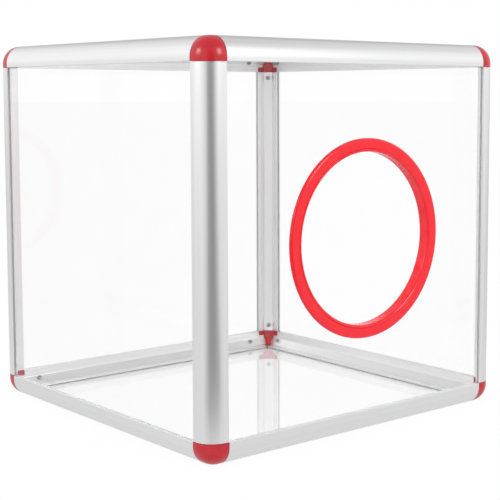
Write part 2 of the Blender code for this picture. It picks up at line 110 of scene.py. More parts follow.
SKIN_RAIL_LENGTH = RAIL_LENGTH + 2 * SKIN_REACH
SKIN_END = CAP_LENGTH + FIT_GAP - SKIN_REACH
STRIP_OFFSET = STRIP_WIDTH / math.sqrt(2)
SLEEVE_OUTER_RADIUS = RING_BORE_RADIUS + SLEEVE_WALL
SLEEVE_FLANGE_RADIUS = SLEEVE_OUTER_RADIUS + SLEEVE_FLANGE_WIDTH
HAND_HOLE_RADIUS = SLEEVE_OUTER_RADIUS + FIT_GAP
RING_OUTER_RADIUS = HAND_HOLE_RADIUS + BEZEL_WIDTH
RING_FRONT = BEZEL_HEIGHT + SLEEVE_PROUD - PANEL_OUTER
SCREW_INSETS = (SIDE_TO_SIDE_SCREW, FRONT_TO_BACK_SCREW, POST_SCREW)
SCREW_PLACES = [RAIL_LENGTH / 2 - inset for inset in SCREW_INSETS]
SCREW_HOLE_DEPTH = 2 * WALL
PRONG_LENGTH = FIT_GAP + max(SCREW_INSETS) + PRONG_PAST_SCREW

# Finer than the source: the steps of curves, the roundings of edges and the ring's radii
FACE_STEPS = 24
EDGE_STEPS = 3
HEAD_STEPS = 32
RING_STEPS = 256
RING_EDGE_STEPS = 8
BEVEL_SEGMENTS = 2
BEVEL_ANGLE = math.radians(40)
SHARP_ANGLE = math.radians(35)
LARGE_FACE_WEIGHT = 100
MERGE_DISTANCE = FIT_GAP / 100
TIP_ROUNDING = 0.0004
LIP_ROUNDING = 0.0003
STEP_ROUNDING = 0.00015
CHAMFER_ROUNDING = 0.0012
CAP_ROUNDING = 0.00025
SHEET_ROUNDING = 0.0002
# The band round each sheet, inside the slots, that is painted pale as painted light
RIM_SET_BACK = 0.0002
RIM_WIDTH = LEG - PANEL_EDGE - RIM_SET_BACK
RING_EDGE_RADIUS = 0.0019
SEAM_GAP = 0.00012
SEAM_ROUNDING = 0.0003
BORE_ROUNDING = 0.0018
RECESS_TAPER = 0.72

# Each screw is turned on by an angle of its own, in radians, so that the recesses differ
SPIN_BY_RAIL = 1.1
SPIN_BY_END = 0.7

SIDES = {
    "front": Vector((0, -1, 0)),
    "back": Vector((0, 1, 0)),
    "left": Vector((-1, 0, 0)),
    "right": Vector((1, 0, 0)),
    "bottom": Vector((0, 0, -1)),
    "top": Vector((0, 0, 1)),
}
UPRIGHT = 2
BOX_CENTRE = Vector((0, RING_FRONT / 2, HALF_SIDE))
SCREW_SEAT = Vector((CHAMFER_SUM / 2, CHAMFER_SUM / 2, 0))
CHAMFER_NORMAL = Vector((1, 1, 0)).normalized()
LEVEL_SCREW_SEAT = SCREW_SEAT + SCREW_SHIFT * Vector((1, -1, 0)).normalized()
OUT = Vector((0, 0, 1))


# Meshes


def add_object(name, data):
    obj = bpy.data.objects.new(name, data)
    bpy.context.scene.collection.objects.link(obj)
    return obj


def mesh_from(name, bm):
    mesh = bpy.data.meshes.new(name)
    bmesh.ops.recalc_face_normals(bm, faces=bm.faces)
    bm.to_mesh(mesh)
    bm.free()
    return mesh


def move_into(bm, mesh):
    bm.from_mesh(mesh)
    bpy.data.meshes.remove(mesh)


def turn_from_z(direction):
    return OUT.rotation_difference(direction).to_matrix().to_4x4()


def box_mesh(name, low, high):
    bm = bmesh.new()
    bmesh.ops.create_cube(bm, size=1)
    size = Vector(high) - Vector(low)
    bmesh.ops.scale(bm, vec=size, verts=bm.verts)
    bmesh.ops.translate(bm, vec=Vector(low) + size / 2, verts=bm.verts)
    return mesh_from(name, bm)


def hole_mesh(radius, start, end, direction, segments):
    bm = bmesh.new()
    bmesh.ops.create_cone(
        bm, cap_ends=True, segments=segments, radius1=radius, radius2=radius, depth=end - start
    )
    place = Matrix.Translation(direction * (start + end) / 2) @ turn_from_z(direction)
    bmesh.ops.transform(bm, matrix=place, verts=bm.verts)
    return mesh_from("hole", bm)


def combine(obj, mesh, operation, matrix=None):
    """Adds a boolean with a helper object, which bake() removes."""
    helper = add_object(mesh.name, mesh)
    helper.matrix_world = matrix or Matrix.Identity(4)
    modifier = obj.modifiers.new(mesh.name, "BOOLEAN")
    modifier.object = helper
    modifier.operation = operation
    modifier.solver = "EXACT"


def round_edges(obj, width):
    bevel = obj.modifiers.new("edges", "BEVEL")
    bevel.width = width
    bevel.segments = BEVEL_SEGMENTS
    bevel.limit_method = "ANGLE"
    bevel.angle_limit = BEVEL_ANGLE


def bake(obj, name):
    """The mesh with its modifiers applied, in place of the object and its helpers."""
    bpy.context.view_layer.update()
    evaluated = obj.evaluated_get(bpy.context.evaluated_depsgraph_get())
    mesh = bpy.data.meshes.new_from_object(evaluated)
    mesh.name = name
    helpers = [modifier.object for modifier in obj.modifiers if modifier.type == "BOOLEAN"]
    for used in [obj, *helpers]:
        bpy.data.objects.remove(used, do_unlink=True)
    return mesh


def smooth(mesh):
    """Smooth shading that leaves the large flat faces flat, whatever roundings they meet."""
    mesh.shade_smooth()
    mesh.set_sharp_from_angle(angle=SHARP_ANGLE)
    obj = add_object(mesh.name, mesh)
    weighted = obj.modifiers.new("normals", "WEIGHTED_NORMAL")
    weighted.keep_sharp = True
    weighted.weight = LARGE_FACE_WEIGHT
    made = bake(obj, mesh.name)
    bpy.data.meshes.remove(mesh)
    return made


def arc(centre, radius, start, end, steps):
    angles = [start + (end - start) * i / steps for i in range(steps + 1)]
    return [(centre[0] + radius * math.cos(a), centre[1] + radius * math.sin(a)) for a in angles]


def rounded(outline):
    """A closed outline of (x, y, radius), with an arc at each corner whose radius isn't 0."""
    points = []
    for i, (x, y, radius) in enumerate(outline):
        corner = Vector((x, y))
        if radius == 0:
            points.append(corner)
            continue
        before = Vector(outline[i - 1][:2]) - corner
        after = Vector(outline[(i + 1) % len(outline)][:2]) - corner
        half = before.angle(after) / 2
        reach = min(radius / math.tan(half), before.length / 2, after.length / 2)
        first, last = before.normalized() * reach, after.normalized() * reach
        middle = (first + last).normalized() * reach / math.cos(half)
        spoke, turn = first - middle, (first - middle).angle_signed(last - middle)
        for k in range(EDGE_STEPS + 1):
            points.append(corner + middle + Matrix.Rotation(-turn * k / EDGE_STEPS, 2) @ spoke)
    return [tuple(point) for point in points]


def extrusion_outline():
    flange_one = [
        (LEG, 0, TIP_ROUNDING),
        (LEG, OUTER_LIP, LIP_ROUNDING),
        (SLOT_FLOOR, OUTER_LIP, 0),
        (SLOT_FLOOR, SLOT_INNER, 0),
        (LEG, SLOT_INNER, LIP_ROUNDING),
        (LEG, FLANGE - LIP_STEP, LIP_ROUNDING),
        (LEG - LIP_STEP_WIDTH, FLANGE - LIP_STEP, STEP_ROUNDING),
        (LEG - LIP_STEP_WIDTH, FLANGE, STEP_ROUNDING),
        (CHAMFER_END, FLANGE, CHAMFER_ROUNDING),
    ]
    flange_two = [(v, u, radius) for u, v, radius in reversed(flange_one)]
    face = arc((ARC_RADIUS, ARC_RADIUS), ARC_RADIUS, math.pi, math.pi * 1.5, FACE_STEPS)
    return rounded([*[(x, y, 0) for x, y in face], *flange_one, *flange_two])


def hollow_outline(inset=0.0):
    """The extrusion's inner chamber, or a prong that fits it with a gap."""
    radius = ARC_RADIUS - WALL - inset
    side = HOLLOW_END - inset
    back = CHAMFER_SUM - (WALL + inset) * math.sqrt(2)
    turn = math.acos((ARC_RADIUS - side) / radius)
    start, end = math.pi * 1.5 - turn, math.pi + turn
    points = arc((ARC_RADIUS, ARC_RADIUS), radius, start, end, FACE_STEPS)
    return [*points, (side, back - side), (back - side, side)]


def extruded_outlines(name, outlines, length):
    curve = bpy.data.curves.new(name, "CURVE")
    curve.dimensions = "2D"
    curve.fill_mode = "BOTH"
    curve.extrude = length / 2
    for outline in outlines:
        spline = curve.splines.new("POLY")
        spline.points.add(len(outline) - 1)
        for point, (x, y) in zip(spline.points, outline):
            point.co = (x, y, 0, 1)
        spline.use_cyclic_u = True
    bm = bmesh.new()
    move_into(bm, bake(add_object(name, curve), name))
    bmesh.ops.remove_doubles(bm, verts=bm.verts, dist=MERGE_DISTANCE)
    return mesh_from(name, bm)


def prism(outline, start, end):
    bm = bmesh.new()
    bottom = bm.faces.new([bm.verts.new((x, y, start)) for x, y in outline])
    drawn = bmesh.ops.extrude_face_region(bm, geom=[bottom])
    moved = [item for item in drawn["geom"] if isinstance(item, bmesh.types.BMVert)]
    bmesh.ops.translate(bm, vec=(0, 0, end - start), verts=moved)
    return bm


def skin_back(gap=0.0):
    lip = FLANGE - SKIN_LIP - gap
    chamfer = CHAMFER_SUM - (SKIN_WALL + gap) * math.sqrt(2)
    return [(SKIN_TOP + gap, lip), (chamfer - lip, lip), (lip, chamfer - lip), (lip, FAR)]


def square_end(end):
    """What is cut off a level extrusion's end, past which only its inner skin runs on."""
    around = [(-CUT_OVERRUN, FAR), (-CUT_OVERRUN, -CUT_OVERRUN), (FAR, -CUT_OVERRUN)]
    outline = [*skin_back(), *around, (FAR, FAR), (SKIN_TOP, FAR)]
    bm = prism(outline, end * RAIL_LENGTH / 2, end * (SKIN_RAIL_LENGTH / 2 + CUT_OVERRUN))
    return mesh_from("square_end", bm)


def strip_cut(end):
    """What is cut off the inner skin along the connector's strip, at 45 degrees."""
    deep = SKIN_END - CUT_OVERRUN
    shallow = CAP_LENGTH + FIT_GAP + SKIN_RELIEF
    slope = [(deep - STRIP_OFFSET, deep), (shallow - STRIP_OFFSET, shallow)]
    bm = prism([*slope, (FAR, shallow), (FAR, deep)], SLOT_INNER - FIT_GAP, FAR)
    for vertex in bm.verts:
        along, depth, up = vertex.co
        vertex.co = (up, along, end * (HALF_SIDE - depth))
    return mesh_from("strip", bm)


def rail_mesh(screw_place, level):
    """An extrusion along Z, with its outer corner on the axis and its middle at the origin."""
    outlines = [extrusion_outline(), hollow_outline()]
    length = SKIN_RAIL_LENGTH if level else RAIL_LENGTH
    seat = LEVEL_SCREW_SEAT if level else SCREW_SEAT
    radius = SHANK_RADIUS + FIT_GAP
    rail = add_object("rail", extruded_outlines("rail", outlines, length))
    for end in (-1, 1):
        if level:
            combine(rail, square_end(end), "DIFFERENCE")
            combine(rail, strip_cut(end), "DIFFERENCE")
        hole = hole_mesh(radius, -SCREW_HOLE_DEPTH, CUT_OVERRUN, CHAMFER_NORMAL, HEAD_STEPS)
        place = Matrix.Translation(seat + Vector((0, 0, end * screw_place)))
        combine(rail, hole, "DIFFERENCE", place)
    return smooth(bake(rail, "rail"))


def cut_away(bm, point, normal):
    cut = bmesh.ops.bisect_plane(
        bm,
        geom=[*bm.verts, *bm.edges, *bm.faces],
        plane_co=point,
        plane_no=normal,
        clear_inner=True,
    )
    rim = [item for item in cut["geom_cut"] if isinstance(item, bmesh.types.BMEdge)]
    bmesh.ops.edgeloop_fill(bm, edges=rim)


def cap_inside():
    """What lies inside the connector's inner lips, its three chamfers and its facet."""
    bm = bmesh.new()
    reach = CAP_LENGTH + CUT_OVERRUN - FLANGE
    bmesh.ops.create_cube(bm, size=reach)
    bmesh.ops.translate(bm, vec=Vector.Fill(3, FLANGE + reach / 2), verts=bm.verts)
    for normal in (Vector((1, 1, 0)), Vector((0, 1, 1)), Vector((1, 0, 1))):
        cut_away(bm, Vector.Fill(3, CHAMFER_SUM / 2), normal)
    cut_away(bm, Vector.Fill(3, CAP_FACET_SUM / 3), Vector((1, 1, 1)))
    return mesh_from("cap_inside", bm)


def skin_room(axis):
    """The room for a level extrusion's inner skin, along the connector's axis 1 or 2."""
    lip = FLANGE - SKIN_LIP - FIT_GAP
    bm = prism([*skin_back(FIT_GAP), (SKIN_TOP + FIT_GAP, FAR)], SKIN_END - FIT_GAP, FAR)
    offset = STRIP_OFFSET - FIT_GAP * math.sqrt(2)
    cut_away(bm, Vector((0, lip, lip + offset)), Vector((0, -1, 1)))
    if axis == 1:
        for vertex in bm.verts:
            vertex.co.y, vertex.co.z = vertex.co.z, vertex.co.y
    return mesh_from("skin_room", bm)


def cap_slot(axis):
    low = Vector.Fill(3, SLOT_FLOOR)
    high = Vector.Fill(3, CAP_LENGTH + CUT_OVERRUN)
    low[axis] = OUTER_LIP
    high[axis] = SLOT_INNER
    return box_mesh("cap_slot", low, high)


def prong_mesh():
    bm = bmesh.new()
    outline = hollow_outline(FIT_GAP)
    root = CAP_LENGTH - PRONG_ROOT
    tip = CAP_LENGTH + PRONG_LENGTH
    middle = sum((Vector(point) for point in outline), Vector((0, 0))) / len(outline)
    rings = []
    for height, share in ((root, 1), (tip - PRONG_TIP_LENGTH, 1), (tip, PRONG_TIP_SHARE)):
        around = [middle + (Vector(point) - middle) * share for point in outline]
        rings.append([bm.verts.new((*point, height)) for point in around])
    for lower, upper in zip(rings, rings[1:]):
        for i in range(len(outline)):
            bm.faces.new((lower[i - 1], lower[i], upper[i], upper[i - 1]))
    bm.faces.new(rings[0])
    bm.faces.new(rings[-1])
    return mesh_from("prong", bm)


def turn_to_axis(axis):
    columns = [Vector.Fill(3), Vector.Fill(3), Vector.Fill(3)]
    for i, column in enumerate(columns):
        column[(axis + 1 + i) % 3] = 1
    return Matrix(columns).transposed().to_4x4()


def cap_mesh():
    """A connector with its outer corner at the origin: a shell with softened edges, and prongs."""
    bm = bmesh.new()
    bmesh.ops.create_cube(bm, size=2 * CAP_LENGTH)
    bmesh.ops.translate(bm, vec=Vector.Fill(3, CAP_LENGTH), verts=bm.verts)
    cap = add_object("cap", mesh_from("cap", bm))
    rounding = cap.modifiers.new("rounding", "BEVEL")
    rounding.width = ARC_RADIUS
    rounding.segments = FACE_STEPS
    low = Vector.Fill(3, -CUT_OVERRUN)
    combine(cap, box_mesh("cap_corner", low, Vector.Fill(3, CAP_LENGTH)), "INTERSECT")
    combine(cap, cap_inside(), "DIFFERENCE")
    for axis in range(3):
        combine(cap, cap_slot(axis), "DIFFERENCE")
    for axis in (1, 2):
        combine(cap, skin_room(axis), "DIFFERENCE")
    round_edges(cap, CAP_ROUNDING)
    bm = bmesh.new()
    move_into(bm, bake(cap, "cap"))
    for axis in range(3):
        prong = prong_mesh()
        prong.transform(turn_to_axis(axis))
        move_into(bm, prong)
    return smooth(mesh_from("cap", bm))


def turned(name, profile, steps):
    """A turned object about Z from (radius, height) points; closed if it starts off the axis."""
    mesh = bpy.data.meshes.new(name)
    edges = [(i, i + 1) for i in range(len(profile) - 1)]
    if profile[0][0] > 0:
        edges.append((len(profile) - 1, 0))
    mesh.from_pydata([(radius, 0, height) for radius, height in profile], edges, [])
    obj = add_object(name, mesh)
    screw = obj.modifiers.new("turn", "SCREW")
    screw.axis = "Z"
    screw.steps = steps
    screw.render_steps = steps
    screw.use_merge_vertices = True
    screw.merge_threshold = MERGE_DISTANCE
    return obj


def screw_mesh():
    """A pan-head screw along Z with a tapered cross recess, its seat at the origin."""
    seat = FIT_GAP
    top = seat + HEAD_HEIGHT
    edge = seat + HEAD_EDGE
    shoulder = top - HEAD_CROWN
    centre = HEAD_RADIUS - 2 * HEAD_EDGE
    shares = [i / EDGE_STEPS for i in range(EDGE_STEPS)]
    crown = [
        ((HEAD_RADIUS - HEAD_EDGE) * share, top - HEAD_CROWN * share**2) for share in shares
    ]
    quarter = arc((0, 0), 1, math.pi / 2, 0, 2 * EDGE_STEPS)
    side = [(centre + 2 * HEAD_EDGE * x, edge + (shoulder - edge) * y) for x, y in quarter]
    profile = [
        *crown,
        *side,
        (HEAD_RADIUS, seat),
        (SHANK_RADIUS, seat),
        (SHANK_RADIUS, -SHANK_LENGTH + SHANK_POINT),
        (SHANK_RADIUS / 2, -SHANK_LENGTH),
        (0, -SHANK_LENGTH),
    ]
    screw = turned("screw", profile, HEAD_STEPS)
    for along, across in ((RECESS_LENGTH, RECESS_WIDTH), (RECESS_WIDTH, RECESS_LENGTH)):
        low = (-along / 2, -across / 2, top - RECESS_DEPTH)
        high = (along / 2, across / 2, top + CUT_OVERRUN)
        recess = box_mesh("recess", low, high)
        for vertex in recess.vertices:
            if vertex.co.z < top:
                vertex.co.x *= RECESS_TAPER
                vertex.co.y *= RECESS_TAPER
        combine(screw, recess, "DIFFERENCE")
    return smooth(bake(screw, "screw"))


def sheet_mesh(side):
    """A clear sheet with its outer face up, cut into its clear field and its rim."""
    field = PANEL_SIDE / 2 - RIM_WIDTH
    bm = bmesh.new()
    bmesh.ops.create_cube(bm, size=1)
    bmesh.ops.scale(bm, vec=(PANEL_SIDE, PANEL_SIDE, PANEL_THICKNESS), verts=bm.verts)
    bmesh.ops.translate(bm, vec=(0, 0, -PANEL_THICKNESS / 2), verts=bm.verts)
    for across in (Vector((1, 0, 0)), Vector((0, 1, 0))):
        for edge in (-field, field):
            whole = [*bm.verts, *bm.edges, *bm.faces]
            bmesh.ops.bisect_plane(bm, geom=whole, plane_co=across * edge, plane_no=across)
    sheet = add_object("sheet", mesh_from(f"sheet_{side}", bm))
    if side == "front":
        depth = -PANEL_THICKNESS - CUT_OVERRUN
        hole = hole_mesh(HAND_HOLE_RADIUS, depth, CUT_OVERRUN, OUT, RING_STEPS)
        combine(sheet, hole, "DIFFERENCE", Matrix.Translation((0, RING_RISE, 0)))
    round_edges(sheet, SHEET_ROUNDING)
    mesh = smooth(bake(sheet, f"sheet_{side}"))
    # The faces past the clear field take the pale rim: painted light in the slots
    for face in mesh.polygons:
        face.material_index = int(max(abs(face.center.x), abs(face.center.y)) > field)
    return mesh


def bezel_profile():
    """The flat ring, which meets the sleeve's lip in a hairline seam."""
    inner = SLEEVE_OUTER_RADIUS + SEAM_GAP
    lip = (inner + SEAM_ROUNDING, BEZEL_HEIGHT - SEAM_ROUNDING)
    corner = (RING_OUTER_RADIUS - RING_EDGE_RADIUS, BEZEL_HEIGHT - RING_EDGE_RADIUS)
    return [
        *arc(lip, SEAM_ROUNDING, math.pi, math.pi / 2, RING_EDGE_STEPS),
        *arc(corner, RING_EDGE_RADIUS, math.pi / 2, 0, RING_EDGE_STEPS),
        (RING_OUTER_RADIUS, FIT_GAP),
        (inner, FIT_GAP),
    ]


def sleeve_profile():
    """The sleeve that lines the hole, with its lip in front and its flange behind the sheet."""
    flange_front = -PANEL_THICKNESS - FIT_GAP
    flange_back = flange_front - SLEEVE_FLANGE_THICKNESS
    back = -PANEL_THICKNESS - SLEEVE_BACK
    lip = BEZEL_HEIGHT + SLEEVE_PROUD
    inner = (RING_BORE_RADIUS + BORE_ROUNDING, lip - BORE_ROUNDING)
    outer = (SLEEVE_OUTER_RADIUS - SEAM_ROUNDING, lip - SEAM_ROUNDING)
    return [
        *arc(inner, BORE_ROUNDING, math.pi, math.pi / 2, RING_EDGE_STEPS),
        *arc(outer, SEAM_ROUNDING, math.pi / 2, 0, RING_EDGE_STEPS),
        (SLEEVE_OUTER_RADIUS, flange_front),
        (SLEEVE_FLANGE_RADIUS, flange_front),
        (SLEEVE_FLANGE_RADIUS, flange_back),
        (SLEEVE_OUTER_RADIUS, flange_back),
        (SLEEVE_OUTER_RADIUS, back),
        (RING_BORE_RADIUS, back),
    ]


# Materials

WALL_SHEET_INDEX = 1.27
BOTTOM_SHEET_INDEX = 1.55
PLASTIC_INDEX = 1.55
SHEET_SHADOW = (0.94, 0.94, 0.94, 1)
NOISE_LOW = 0.3
NOISE_HIGH = 0.7


class Nodes:
    """A node tree with short calls to add nodes and to fill their sockets."""

    def __init__(self, tree):
        self.tree = tree

    def node(self, kind, **settings):
        made = self.tree.nodes.new(kind)
        for key, value in settings.items():
            setattr(made, key, value)
        return made

    def put(self, socket, value):
        """Joins another node's output to a socket, or sets a plain value on it."""
        if isinstance(value, bpy.types.NodeSocket):
            self.tree.links.new(value, socket)
        else:
            socket.default_value = value

    def mix(self, share, first, second):
        made = self.node("ShaderNodeMixShader")
        for socket, value in zip(made.inputs, (share, first, second)):
            self.put(socket, value)
        return made.outputs["Shader"]


class Look(Nodes):
    """A material with its Principled shader and the noises that vary it."""

    def __init__(self, name):
        self.material = bpy.data.materials.new(name)
        self.material.use_nodes = True
        super().__init__(self.material.node_tree)
        self.shader = self.tree.nodes["Principled BSDF"]
        self.place = self.node("ShaderNodeTexCoord").outputs["Object"]

    def set(self, **values):
        for key, value in values.items():
            self.put(self.shader.inputs[key.replace("_", " ")], value)

    def noise(self, scale, detail, stretch=(1, 1, 1)):
        mapping = self.node("ShaderNodeMapping")
        self.put(mapping.inputs["Scale"], stretch)
        self.put(mapping.inputs["Vector"], self.place)
        noise = self.node("ShaderNodeTexNoise")
        self.put(noise.inputs["Scale"], scale)
        self.put(noise.inputs["Detail"], detail)
        self.put(noise.inputs["Vector"], mapping.outputs["Vector"])
        return noise.outputs["Fac"]

    def ramp(self, source, low, high):
        """A colour between two others, over the range that a noise mostly has."""
        ramp = self.node("ShaderNodeValToRGB")
        ends = zip(ramp.color_ramp.elements, (NOISE_LOW, NOISE_HIGH), (low, high))
        for element, position, colour in ends:
            element.position = position
            element.color = (*colour, 1)
        self.put(ramp.inputs["Fac"], source)
        return ramp.outputs["Color"]

    def span(self, source, low, high):
        """A number between two others, over the range that a noise mostly has."""
        span = self.node("ShaderNodeMapRange")
        self.put(span.inputs["From Min"], NOISE_LOW)
        self.put(span.inputs["From Max"], NOISE_HIGH)
        self.put(span.inputs["To Min"], low)
        self.put(span.inputs["To Max"], high)
        self.put(span.inputs["Value"], source)
        return span.outputs["Result"]

    def bump(self, source, strength, distance, before=None):
        bump = self.node("ShaderNodeBump")
        self.put(bump.inputs["Strength"], strength)
        self.put(bump.inputs["Distance"], distance)
        self.put(bump.inputs["Height"], source)
        if before:
            self.put(bump.inputs["Normal"], before)
        return bump.outputs["Normal"]


def aluminium_look():
    """Satin anodised extrusion: fine die lines along it, a fine etched grain, faint streaks."""
    look = Look("satin_aluminium")
    lines = look.noise(scale=2600, detail=3, stretch=(1, 1, 0.004))
    grain = look.noise(scale=5200, detail=2)
    streaks = look.noise(scale=420, detail=4, stretch=(1, 1, 0.01))
    lined = look.bump(lines, strength=0.12, distance=0.00002)
    look.set(
        Metallic=1.0,
        Base_Color=look.ramp(streaks, low=(0.86, 0.86, 0.865), high=(0.90, 0.90, 0.905)),
        Roughness=look.span(streaks, low=0.30, high=0.36),
        Normal=look.bump(grain, strength=0.08, distance=0.00002, before=lined),
    )
    return look.material


def red_look(name, low, high, roughness):
    """Moulded red plastic with a faint cloudiness and a faint waviness in its skin."""
    look = Look(name)
    clouds = look.noise(scale=160, detail=3)
    skin = look.noise(scale=2200, detail=2)
    look.set(
        IOR=PLASTIC_INDEX,
        Base_Color=look.ramp(clouds, low, high),
        Roughness=look.span(clouds, *roughness),
        Normal=look.bump(skin, strength=0.06, distance=0.00003),
    )
    return look.material


def acrylic_look(name, index):
    """Clear sheet with a faint wave in its faces. Rays to the lamps pass it straight."""
    look = Look(name)
    wave = look.noise(scale=9, detail=1)
    smudge = look.noise(scale=35, detail=4)
    look.set(
        IOR=index,
        Transmission_Weight=1.0,
        Base_Color=look.ramp(smudge, low=(0.99, 0.99, 0.99), high=(1.0, 1.0, 1.0)),
        Roughness=look.span(smudge, low=0.0, high=0.012),
        Normal=look.bump(wave, strength=0.05, distance=0.0004),
    )
    through = look.node("ShaderNodeBsdfTransparent")
    look.put(through.inputs["Color"], SHEET_SHADOW)
    to_lamp = look.node("ShaderNodeLightPath").outputs["Is Shadow Ray"]
    surface = look.mix(to_lamp, look.shader.outputs["BSDF"], through.outputs["BSDF"])
    look.put(look.tree.nodes["Material Output"].inputs["Surface"], surface)
    return look.material


def rim_look():
    """The rim of a sheet inside the slots, made pale and matt where the sheet is clear: painted
    light that stands in for the light reaching into the slots, so that the slot lines show grey.
    """
    look = Look("slot_rim_painted_light")
    marks = look.noise(scale=900, detail=3)
    look.set(
        Base_Color=look.ramp(marks, low=(0.88, 0.89, 0.89), high=(0.96, 0.97, 0.97)),
        Roughness=look.span(marks, low=0.5, high=0.6),
    )
    return look.material


def steel_look():
    """Zinc-coated screws, a little mottled."""
    look = Look("zinc_screw")
    mottle = look.noise(scale=1500, detail=3)
    look.set(
        Metallic=1.0,
        Base_Color=look.ramp(mottle, low=(0.28, 0.28, 0.285), high=(0.43, 0.43, 0.435)),
        Roughness=look.span(mottle, low=0.28, high=0.42),
    )
    return look.material


# Pieces


def show(node, mesh, look, matrix):
    """A finer piece in a CAD node's place, named after it."""
    piece = add_object(f"{node}.shown", mesh)
    if not mesh.materials:
        mesh.materials.append(look)
    piece.matrix_world = matrix
    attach(piece, "root")
    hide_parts(node)


def rail_frame(first, second):
    """An extrusion's place where two sides meet, with X and Y pointing into the box."""
    across = -SIDES[first]
    up = -SIDES[second]
    turn = Matrix((across, up, across.cross(up))).transposed().to_4x4()
    corner = BOX_CENTRE - (across + up) * HALF_SIDE
    return Matrix.Translation(corner) @ turn


def sheet_place(side):
    """The middle of a sheet's outer face, with Z pointing out of the box."""
    face = BOX_CENTRE + SIDES[side] * (HALF_SIDE - PANEL_OUTER)
    return Matrix.Translation(face) @ turn_from_z(SIDES[side])


def side_facing(direction):
    return max(SIDES, key=lambda side: SIDES[side].dot(direction))


def rail_sides():
    """The name of every extrusion and the two sides that meet in it."""
    walls = ("front", "back", "left", "right")
    sides = {f"post_{y}_{x}": (y, x) for y in walls[:2] for x in walls[2:]}
    for level in ("bottom", "top"):
        for wall in walls:
            sides[f"rail_{level}_{wall}"] = (level, wall)
    return sides


def show_rails_and_screws():
    rails = [rail_mesh(place, axis != UPRIGHT) for axis, place in enumerate(SCREW_PLACES)]
    look = aluminium_look()
    screw, screw_look = screw_mesh(), steel_look()
    seat_turn = turn_from_z(CHAMFER_NORMAL)
    for number, (name, (first, second)) in enumerate(rail_sides().items()):
        place = rail_frame(first, second)
        length_way = place.to_3x3() @ OUT
        axis = max(range(3), key=lambda i: abs(length_way[i]))
        show(name, rails[axis], look, place)
        middle = SCREW_SEAT if axis == UPRIGHT else LEVEL_SCREW_SEAT
        for end in (-1, 1):
            seat = Matrix.Translation(middle + OUT * end * SCREW_PLACES[axis]) @ seat_turn
            spin = Matrix.Rotation(SPIN_BY_RAIL * number + SPIN_BY_END * end, 4, "Z")
            node = f"screw_{name}_{side_facing(length_way * end)}"
            show(node, screw, screw_look, place @ seat @ spin)


def show_corners(look):
    mesh = cap_mesh()
    for level in ("bottom", "top"):
        for y in ("front", "back"):
            for x in ("left", "right"):
                inward = [-SIDES[level], -SIDES[y], -SIDES[x]]
                if Matrix(inward).determinant() < 0:
                    inward[1], inward[2] = inward[2], inward[1]
                turn = Matrix(inward).transposed().to_4x4()
                corner = BOX_CENTRE - sum(inward, Vector()) * HALF_SIDE
                place = Matrix.Translation(corner) @ turn
                show(f"corner_{level}_{y}_{x}", mesh, look, place)


def show_panels():
    wall_look = acrylic_look("clear_sheet", WALL_SHEET_INDEX)
    bottom_look = acrylic_look("clear_floor_sheet", BOTTOM_SHEET_INDEX)
    rim = rim_look()
    for side in SIDES:
        mesh = sheet_mesh(side)
        look = bottom_look if side == "bottom" else wall_look
        mesh.materials.append(look)
        # The second material is the pale rim, painted light in the slots
        mesh.materials.append(rim)
        show(f"panel_{side}", mesh, look, sheet_place(side))


def show_hand_ring(look):
    place = Matrix.Translation(SIDES["top"] * RING_RISE) @ sheet_place("front")
    for name, profile in (
        ("hand_ring_bezel", bezel_profile()),
        ("hand_ring_sleeve", sleeve_profile()),
    ):
        mesh = smooth(bake(turned(name, profile, RING_STEPS), name))
        show(name, mesh, look, place)


show_rails_and_screws()
# The connectors' red is painted darker than the ring's: painted shade, for the lesser light on
# their rounded faces
show_corners(
    red_look(
        "red_connector",
        low=(0.44, 0.003, 0.012),
        high=(0.50, 0.005, 0.016),
        roughness=(0.20, 0.26),
    )
)
show_panels()
# The ring's red is painted lighter than the connectors': painted light, for the stronger light on
# its flat front face
show_hand_ring(
    red_look(
        "red_ring",
        low=(0.75, 0.004, 0.013),
        high=(0.81, 0.007, 0.019),
        roughness=(0.07, 0.10),
    )
)

# The floor, the light and the camera

CAMERA_PLACE = Vector((-0.629967, -0.801604, 0.259392))
CAMERA_YAW = math.radians(41.0117)
CAMERA_PITCH = math.radians(-5.3268)
CAMERA_SENSOR = 36
CAMERA_LENS = 86.607
CAMERA_SHIFT = (-0.10899, -0.08659)

SOFTBOX_DISTANCE = 1.4
SOFTBOX_RADIANCE = 5.8
AMBIENT = 0.95
FLOOR_RADIUS = 40
FLOOR_SEGMENTS = 96
FLOOR_MATT = (0.94, 0.94, 0.94, 1)
FLOOR_WHITE_SHARE = 0.95

# How much less than white metal sees, on the floor and in the studio around
FLOOR_DARK = 0.25
FLOOR_DARK_INSIDE = 0.18
FLOOR_FRONT_DARK = 0.75
FLOOR_BEHIND_DARK = 0.35
NEAR_DARK = 0.86
BEHIND_DARK = 0.5
HIGH_DARK = 0.45

# Where: zones in degrees round from the camera's side, each with the angles at which it ends and
# is full, then distances from the box's middle and shares of a direction's height
NEAR_TURN = 6
BEHIND_TURN = 180
FLOOR_FRONT_ANGLES = (38, 10)
FLOOR_BEHIND_ANGLES = (100, 60)
NEAR_ANGLES = (26, 7)
BEHIND_ANGLES = (44, 14)
FLOOR_DARK_FROM = (0.2, 0.42)
HIGH_FROM = (0.35, 1.0)
STUDIO_HEIGHT = 0.4


